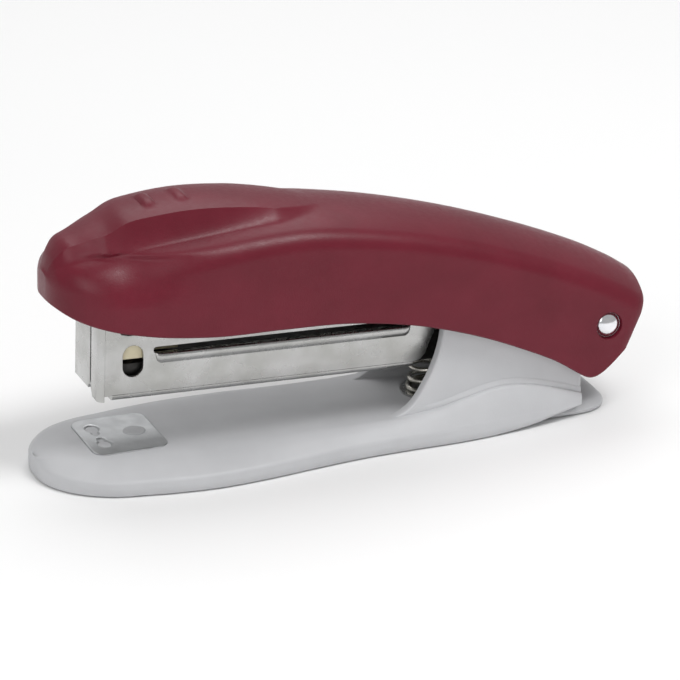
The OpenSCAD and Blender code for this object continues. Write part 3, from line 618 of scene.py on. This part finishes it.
def base_moulding():
    rows = 240
    inner_x = stations(BASE_TIP_X + BASE_WALL, BASE_REAR_X - BASE_WALL, rows)
    skin = shell(
        [base_row(x, 0) for x in stations(BASE_TIP_X, BASE_REAR_X, rows)],
        [base_row(x, BASE_WALL) for x in inner_x],
    )
    put("base_moulding", as_mesh(*skin), "base", light_grey, 45, replaces=("base_shell",))


CHEEK_FRONT = [[6.4, 5.6], [8.4, 5.95], [10.2, 6.7], [11.8, 7.8], [13.2, 9.4], [14.6, 11.6], [15.9, 14],
               [17, 16.6], [17.8, 19.2], [18.3, 21.8], [18.6, 24]]
CHEEK_END_R = 4.2
REAR_WALL_X = (45.97, 47.77)


def hinge_cheeks():
    """Two uprights of the base that hold the rivet."""
    rear_x = BASE_REAR_X + 0.13
    end = arc(HINGE.x, HINGE.z, CHEEK_END_R, 92, -62, 20)
    outline = [(6.4, 5.0), *smooth_path(CHEEK_FRONT, 5), (20.4, 25.8), (24, 26.4), *end, (49.4, 12.4),
               (rear_x, 10), (rear_x, 4.9)]
    hole = arc(HINGE.x, HINGE.z, 2.02, 0, 354, 36)
    sides = [
        plate(outline, *sorted((side * CHEEK_Y, side * (CHEEK_Y - CHEEK_T))), (hole,), bevel=0.4)
        for side in (-1, 1)
    ]
    put("hinge_cheeks", joined(sides), "base", light_grey, 50)


def smooth_path(points, per_span):
    """More points on a smooth line through a few."""
    p = np.array(points, float)
    t = np.arange(len(p))
    fine = np.linspace(0, len(p) - 1, (len(p) - 1) * per_span + 1)
    return np.stack([curve(np.stack([t, p[:, k]], 1), fine) for k in range(p.shape[1])], 1).tolist()


def rear_wall():
    """Low wall between the cheeks at the rear."""
    half, low, high = CHEEK_Y - 0.5, 4.03, 9
    wall = cross_plate([(-half, low), (half, low), (half, high), (-half, high)], *REAR_WALL_X, bevel=0.3)
    put("rear_cross_wall", wall, "base", light_grey)


HEEL_X, HEEL_HALF = 55.5, 11
HEEL_TOP = [[36, 4.4], [47, 4.4], [50, 4.1], [53, 3.1], [54.6, 2.2], [55.5, 1.2]]
COVER_TOP = 2.1
COVER_SCREW_X = (-30, 24)


def bottom_cover():
    """Plate that closes the base, and the heel that slopes out behind the cheeks."""
    rows, cols = 40, 33
    across = [2 * j / (cols - 1) - 1 for j in range(cols)]
    upper, lower = [], []
    for i in range(rows + 1):
        x = mix(HEEL_TOP[0][0], HEEL_X, 1 - (1 - i / rows) ** 1.6)
        corner = unit((x - (HEEL_X - 8)) / 8)
        w = HEEL_HALF * mix(0.35, 1, math.sqrt(max(1 - corner**2.3, 0)))
        crown = float(curve(HEEL_TOP, x))
        sides = [math.sqrt(max(1 - abs(s) ** 3.5, 0)) for s in across]
        upper.append([(x, w * s, mix(min(1.1, crown), crown, side)) for s, side in zip(across, sides)])
        lower.append([(x, w * s * 0.97, BASE_CLEAR + 0.1 * abs(s)) for s in across])
    heel = as_mesh(*shell(upper, lower))
    edge = [(x, base_half(x, BASE_WALL) - 0.4) for x in np.linspace(-59, 37, 40)]
    outline = edge + [(a, -b) for a, b in reversed(edge)]
    holes = [arc(x, 0, 1.55, 0, 345, 23) for x in COVER_SCREW_X]
    flat = level_plate(outline, BASE_CLEAR, COVER_TOP, holes)
    put("bottom_cover_plate", joined([heel, flat]), "base", light_grey, 40,
        replaces=("bottom_cover",))


# ---- Anvil ----

ANVIL_X = (-51.5, -36.5)
ANVIL_HALF, ANVIL_TOP = 9, 6.2
ANVIL_CORNER_R, ANVIL_EDGE_R, ANVIL_EDGE_DROP = 2.6, 0.3, 0.14
CLINCH_X, STAKE_X = -48.2, -40.9
PITS = ((3.9, 0.9, 1.7), (1.7, 0.45, 1))  # offset from the middle, depth, radius


def anvil_height(x, y):
    """Top of the anvil: two pits side by side that curl the legs inwards."""
    z = ANVIL_TOP
    for side in (-1, 1):
        for place, depth, r in PITS:
            d = math.hypot((x - CLINCH_X) / (0.85 * r), (y - side * place) / (1.15 * r))
            z = min(z, ANVIL_TOP - depth * (1 - d * d)) if d < 1 else z
    return z


def anvil_plate():
    """A grid pressed into a rounded rectangle, closed by a skirt and a floor."""
    count = 90
    corner = ANVIL_CORNER_R
    xm, hx = sum(ANVIL_X) / 2, (ANVIL_X[1] - ANVIL_X[0]) / 2
    verts = []
    for i in range(count + 1):
        for j in range(count + 1):
            x, y = xm + hx * (2 * i / count - 1), ANVIL_HALF * (2 * j / count - 1)
            ex, ey = abs(x - xm) - (hx - corner), abs(y) - (ANVIL_HALF - corner)
            if ex > 0 and ey > 0 and math.hypot(ex, ey) > 1e-9:
                k = max(ex, ey) / math.hypot(ex, ey)
                x = xm + math.copysign(hx - corner + ex * k, x - xm)
                y = math.copysign(ANVIL_HALF - corner + ey * k, y)
                ex, ey = ex * k, ey * k
            rim = corner - (math.hypot(max(ex, 0), max(ey, 0)))
            if ex <= 0 or ey <= 0:
                rim = min(hx - abs(x - xm), ANVIL_HALF - abs(y))
            edge = unit(rim / ANVIL_EDGE_R)
            drop = ANVIL_EDGE_DROP * (1 - math.sqrt(1 - (1 - edge) ** 2))
            verts.append((x, y, anvil_height(x, y) - drop))
    row = count + 1
    faces = grid_faces(row, row)
    border = list(range(row))
    border += [i * row + count for i in range(1, row)]
    border += [count * row + j for j in range(count - 1, -1, -1)]
    border += [i * row for i in range(count - 1, 0, -1)]
    start = len(verts)
    verts += [(verts[k][0], verts[k][1], ANVIL_TOP - 1) for k in border]
    n = len(border)
    faces += [(border[k], border[(k + 1) % n], start + (k + 1) % n, start + k) for k in range(n)]
    faces.append([start + k for k in range(n)])
    put("anvil_plate_pressed", as_mesh(verts, faces), "base", anvil_steel, 40,
        replaces=("anvil_plate",))


def anvil_stake():
    """Plastic stake headed over into a flat button."""
    top = PLATFORM_H + 0.3 + 0.15
    profile = [(2.2, 2.2), (2.2, top - 0.12), (2.12, top - 0.03), (1.95, top), (0.02, top - 0.02)]
    stake = as_mesh(*lathe(profile, 48))
    stake.transform(Matrix.Translation((STAKE_X, 0, 0)))
    put("anvil_stake_head", stake, "base", light_grey, 40, replaces=("anvil_stake",))


# ---- Hinge ----


def hinge_rivet():
    """Shank and two domed heads, one on each side."""
    r, dome, seat = 2.5, 1.05, 13.1
    big = (r * r + dome * dome) / (2 * dome)
    reach = math.asin(r / big)
    head = [(big * math.sin(a), seat + dome - big + big * math.cos(a)) for a in np.linspace(reach, 0.01, 12)]
    profile = [(2.0, 0), (2.0, seat - 0.05), (r - 0.1, seat - 0.05), (r, seat + 0.02), *head]
    parts = []
    for side in (-1, 1):
        half = as_mesh(*lathe(profile, 64))
        half.transform(Matrix.Translation(HINGE) @ Matrix.Rotation(-side * math.pi / 2, 4, "X"))
        parts.append(half)
    put("hinge_rivet_domed", joined(parts), "base", chrome, 30, replaces=("hinge_rivet",))


# ---- Magazine: drawn about the rivet axis, level ----

MAG_HALF, SHEET = 7.5, 0.8
MAG_LOW, MAG_HIGH = -6.8, 6.3
FRONT_X, MAG_REAR_X, TAB_TOP = -102.9, -38.5, 10.5
SLOT_X, SLOT_Z = (-91.5, -39.5), (2.2, 3.4)
BEAD_Z = (0.05, 2.2)
BEND = 1.3
SEAM_Y, SEAM_GAP = -3.1, 0.8
WINDOW_X, WINDOW_Z, WINDOW_R = -96, (-0.05, 2.15), 2.05


def magazine_sides():
    """Two side plates with the window, the slot and the pivot hole."""
    front = FRONT_X + BEND
    outline = [(front + 1.4, MAG_LOW + BEND), (MAG_REAR_X, MAG_LOW + BEND), (-37.2, -5.2), (-36.2, -4)]
    outline += [(-33.6, 2.6), (-33, 3.4), (-32, 3.8), (-30, 3.6), *arc(0, 0, 4.5, -105, 75, 16)]
    outline += [(-14, MAG_HIGH), (FRONT_X + 6, MAG_HIGH), (FRONT_X + 4.6, MAG_HIGH + 0.3)]
    outline += [(FRONT_X + 3.2, TAB_TOP - 2.4), (FRONT_X + 2.2, TAB_TOP - 0.5), (front, TAB_TOP)]
    outline += [(front, MAG_LOW + 1.2), (front + 0.9, MAG_LOW + 1.2)]
    window = arc(WINDOW_X, WINDOW_Z[1], WINDOW_R, 0, 180, 12)
    window += arc(WINDOW_X, WINDOW_Z[0], WINDOW_R, 180, 360, 12)
    r = (SLOT_Z[1] - SLOT_Z[0]) / 2
    slot = arc(SLOT_X[1] - r + 0.4, SLOT_Z[0] + r, r, -90, 90, 8)
    slot += arc(SLOT_X[0] + r - 0.4, SLOT_Z[0] + r, r, 90, 270, 8)
    pivot = arc(0, 0, 2.05, 0, 350, 30)
    parts = []
    for side in (-1, 1):
        y0, y1 = sorted((side * MAG_HALF, side * (MAG_HALF - SHEET)))
        parts.append(plate(outline, y0, y1, (window, slot, pivot), bevel=0.1))
    sides = put("magazine_sides", joined(parts), "magazine", nickel, 32, tilted=True,
                replaces=("magazine_channel",))
    paint_channel_shade(sides)


def paint_channel_shade(thing):
    """The inner faces of the channel get the nearly black sheet: painted shade where the channel is dark
    inside.
    """
    thing.data.materials.append(channel_shade_sheet)
    for face in thing.data.polygons:
        if face.normal.y * face.center.y < 0 and abs(face.normal.y) > 0.9:
            face.material_index = 1


def bent_strip(ends, centre, start, stop, along):
    """A sheet bent through an arc in the plane across the axis along, between two places on that axis."""
    verts = []
    count = 8
    for place in ends:
        for r in (BEND, BEND - SHEET):
            for k in range(count + 1):
                a = math.radians(mix(start, stop, k / count))
                u, v = centre[0] + r * math.cos(a), centre[1] + r * math.sin(a)
                verts.append((place, u, v) if along == "X" else (u, v, place))
    n = count + 1
    faces = []
    for k in range(count):
        faces.append((k, k + 1, 2 * n + k + 1, 2 * n + k))
        faces.append((n + k, 3 * n + k, 3 * n + k + 1, n + k + 1))
        faces.append((k, n + k, n + k + 1, k + 1))
        faces.append((2 * n + k, 2 * n + k + 1, 3 * n + k + 1, 3 * n + k))
    faces.append((0, 2 * n, 3 * n, n))
    faces.append((count, n + count, 3 * n + count, 2 * n + count))
    return as_mesh(verts, faces)


def magazine_folds():
    """Floor, the bends along it, and the two front tabs with their bends."""
    inner = MAG_HALF - BEND
    low = MAG_LOW + BEND
    x0, x1 = FRONT_X + BEND + 1.6, MAG_REAR_X - 0.2
    parts = [
        bent_strip((x0, x1), (inner, low), -90, 0, "X"),
        bent_strip((x0, x1), (-inner, low), 180, 270, "X"),
    ]
    floor = [(x0, -inner), (x1, -inner), (x1, inner), (x0, inner)]
    parts.append(level_plate(floor, MAG_LOW, MAG_LOW + SHEET, bevel=0.05))
    corner_x = FRONT_X + BEND
    near = (MAG_LOW + 0.1, TAB_TOP - 0.2)
    far = (MAG_LOW + 1.1, TAB_TOP - 0.2)
    parts.append(bent_strip(near, (corner_x, -inner), 180, 270, "Z"))
    parts.append(bent_strip(far, (corner_x, inner), 90, 180, "Z"))
    for (z0, z1), other, edge in ((near, -inner, SEAM_Y), (far, inner, SEAM_Y + SEAM_GAP)):
        cut_back = math.copysign(0.9, other)
        tab = [(other, z0), (edge + cut_back, z0), (edge, z0 + 1.4), (edge, z1 - 0.6),
               (edge + cut_back * 0.6, z1), (other, z1)]
        parts.append(cross_plate(tab, FRONT_X, FRONT_X + SHEET, bevel=0.1))
    put("magazine_folds", joined(parts), "magazine", nickel, 32, tilted=True)


LIP_OUT, LIP_END = 0.6, 1.3
LIP_CREST = 0.62


def lip_shape(s):
    """How far the louvre's lip stands out, from 0 at its lower edge through 1 at the crest."""
    rise = math.sin(math.pi * 0.5 * unit(s / LIP_CREST)) ** 1.1
    return rise * math.sqrt(max(1 - (unit((s - LIP_CREST) / (1 - LIP_CREST)) * 0.9) ** 2, 0))


def magazine_louvres():
    """Raised lip below the slot on each side."""
    rows, cols = 120, 15
    low, high = BEAD_Z
    middle = high - 0.5
    parts = []
    for side in (-1, 1):
        outer, back = [], []
        for x in stations(*SLOT_X, rows):
            end = min(end_round((x - SLOT_X[0]) / LIP_END), end_round((SLOT_X[1] - x) / LIP_END))
            foot = middle - (middle - low) * max(end, 0.05)
            line = []
            for j in range(cols):
                s = j / (cols - 1)
                out = LIP_OUT * end * lip_shape(s)
                line.append((x, side * (MAG_HALF - 0.02 + out), mix(foot, high, s)))
            outer.append(line)
            back.append([(x, side * (MAG_HALF - 0.5), place[2]) for place in (line[0], line[-1])])
        parts.append(as_mesh(*shell(outer, back)))
    put("magazine_louvres", joined(parts), "magazine", nickel, 45, tilted=True)


# ---- Springs ----


def return_spring():
    """Conical spring with flat end turns, from its seat on the base to the magazine's floor."""
    seat_top, magazine_floor, wire = 5.6 + 0.6, 14.35, 0.45
    low, high = seat_top + wire, magazine_floor - wire
    axis_x, low_r, high_r = 20.5, 4.6, 3.3
    turns, flat_turns, steps = 4.5, 0.7, 40
    path = []
    for k in range(int(turns * steps) + 1):
        s = k / (turns * steps)
        r = mix(low_r, high_r, s)
        a = 2 * math.pi * k / steps
        z = mix(low, high, unit((s * turns - flat_turns) / (turns - 2 * flat_turns)))
        path.append((axis_x + r * math.cos(a), r * math.sin(a), z))
    spring = loose("return_spring_wire", as_mesh(*tube(path, wire)), ("return_spring",))
    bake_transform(spring)


def loose(name, mesh, replaces, tilted=False):
    """Makes a mesh a spring that sits between two bodies: it has no parent."""
    mesh.name = name
    mesh.transform(placing(tilted))
    mesh.shade_smooth()
    mesh.set_sharp_from_angle(angle=math.radians(40))
    mesh.materials.append(spring_steel)
    thing = bpy.data.objects.new(name, mesh)
    bpy.context.collection.objects.link(thing)
    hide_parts(*replaces)
    return thing


def follower_spring():
    """Even spring on the guide rod, from the follower to the rod's bracket."""
    rod_z, coil, wire = 3.1, 1.55, 0.28
    start, end = -85.5 + wire, -24 - wire
    turns, steps = 30, 16
    path = [
        (start + (end - start) * k / (turns * steps), coil * math.cos(2 * math.pi * k / steps),
         rod_z + coil * math.sin(2 * math.pi * k / steps))
        for k in range(turns * steps + 1)
    ]
    coils = as_mesh(*tube(path, wire, 8))
    spring = loose("follower_spring_wire", coils, ("follower_spring",), tilted=True)
    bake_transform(spring)


# ---- Follower: a head that pushes the staples, a narrow stem round the rod, and two skirts ----


def block(x0, x1, z0, z1, y0, y1):
    """A box with soft edges."""
    return plate([(x0, z0), (x1, z0), (x1, z1), (x0, z1)], y0, y1, bevel=0.12)


def follower():
    head_x, stem_x, end_x = -99.5, -92.4, -85.5
    head_half, stem_half, bore, skirt, skirt_low = 6.4, 3.1, 1.0, 0.35, -4.6
    low, high, rod_low, rod_high = 1.1, 5, 2.1, 4.1
    parts = [
        block(head_x, end_x, low, rod_low, -bore, bore),
        block(head_x, end_x, rod_high, high, -bore, bore),
    ]
    for side in (-1, 1):
        for x0, x1, half in ((head_x, stem_x, head_half), (stem_x - 0.3, end_x, stem_half)):
            parts.append(block(x0, x1, low, high, *sorted((side * bore, side * half))))
        skirt_y = sorted((side * head_half, side * (head_half - skirt)))
        parts.append(block(stem_x - 0.6, end_x, skirt_low, low + 0.2, *skirt_y))
    put("follower_moulding", joined(parts), "follower", cream, tilted=True,
        replaces=("follower",))


# ---- Parts that keep their CAD shape ----

KEPT = {
    "cover_screws": zinc, "front_pad": rubber, "rear_pad": rubber, "spring_seat": nickel,
    # The staple rail and the driver blade take the nearly black sheet: painted shade inside the channel and
    # in the gap behind the slot.
    "spacer_washers": nickel, "staple_rail": channel_shade_sheet, "rail_rivets": zinc, "pivot_sleeve": nickel,
    "guide_rod": chrome, "rod_bracket": zinc, "driver_arm": nickel, "driver_blade": channel_shade_sheet,
    "blade_rivets": zinc, "arm_screws": zinc, "leaf_spring": spring_steel, "leaf_rivet": zinc,
}


def finish_kept_nodes():
    for name, material in KEPT.items():
        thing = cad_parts[name]
        for place in range(max(len(thing.material_slots), 1)):
            if thing.material_slots:
                thing.material_slots[place].material = material
            else:
                thing.data.materials.append(material)


# ---- Floor, light and camera ----


LIT_PLACE = (0, 0, 0.02)
WORLD_STRENGTH = 0.42
LIGHTS = (  # name, place, size in metres, watts
    ("key", (0.22, -0.3, 0.72), 0.26, 3.0),
    ("fill", (-0.5, -0.5, 0.45), 0.5, 1.6),
    ("back", (0.1, 0.45, 0.7), 0.6, 2.2),
)


def area_light(name, place, size, power):
    light = bpy.data.lights.new(name, "AREA")
    light.energy = power
    light.shape = "SQUARE"
    light.size = size
    thing = bpy.data.objects.new(name, light)
    thing.location = place
    thing.rotation_euler = (Vector(LIT_PLACE) - Vector(place)).to_track_quat("-Z", "Y").to_euler()
    bpy.context.collection.objects.link(thing)


def studio():
    """White floor, white surroundings and three soft lights."""
    mesh = bpy.data.meshes.new("floor")
    reach = 3.0
    corners = [(-reach, -reach, 0), (reach, -reach, 0), (reach, reach, 0), (-reach, reach, 0)]
    mesh.from_pydata(corners, [], [(0, 1, 2, 3)])
    f = Finish("floor_paper")
    f.colour(f.ramp(f.noise(0.3, 1), (0.90, 0.90, 0.90), (0.92, 0.92, 0.92)))
    f.set(Roughness=0.9)
    mesh.materials.append(f.material)
    floor = bpy.data.objects.new("floor", mesh)
    bpy.context.collection.objects.link(floor)
    world = bpy.data.worlds.new("studio")
    world.use_nodes = True
    background = world.node_tree.nodes["Background"].inputs
    background["Color"].default_value = (1, 1, 1, 1)
    background["Strength"].default_value = WORLD_STRENGTH
    bpy.context.scene.world = world
    for light in LIGHTS:
        area_light(*light)
    bpy.context.scene.view_settings.view_transform = "Standard"


def camera():
    """Three-quarter view from the nose side, a little above."""
    azimuth, elevation, distance = math.radians(-21.38), math.radians(21.69), 0.8
    target = Vector((0.0015, 0, 0.01878))
    level = math.cos(elevation)
    back = Vector((math.sin(azimuth) * level, -math.cos(azimuth) * level, math.sin(elevation)))
    data = bpy.data.cameras.new("camera")
    data.sensor_width = 36
    data.lens = 218.1
    data.clip_start, data.clip_end = 0.05, 20
    thing = bpy.data.objects.new("camera", data)
    thing.location = target + back * distance
    thing.rotation_mode = "QUATERNION"
    thing.rotation_quaternion = (-back).to_track_quat("-Z", "Y")
    bpy.context.collection.objects.link(thing)
    bpy.context.scene.camera = thing


handle_cover()
cover_bosses()
base_moulding()
hinge_cheeks()
rear_wall()
bottom_cover()
anvil_plate()
anvil_stake()
hinge_rivet()
magazine_sides()
magazine_folds()
magazine_louvres()
return_spring()
follower_spring()
follower()
finish_kept_nodes()
studio()
camera()
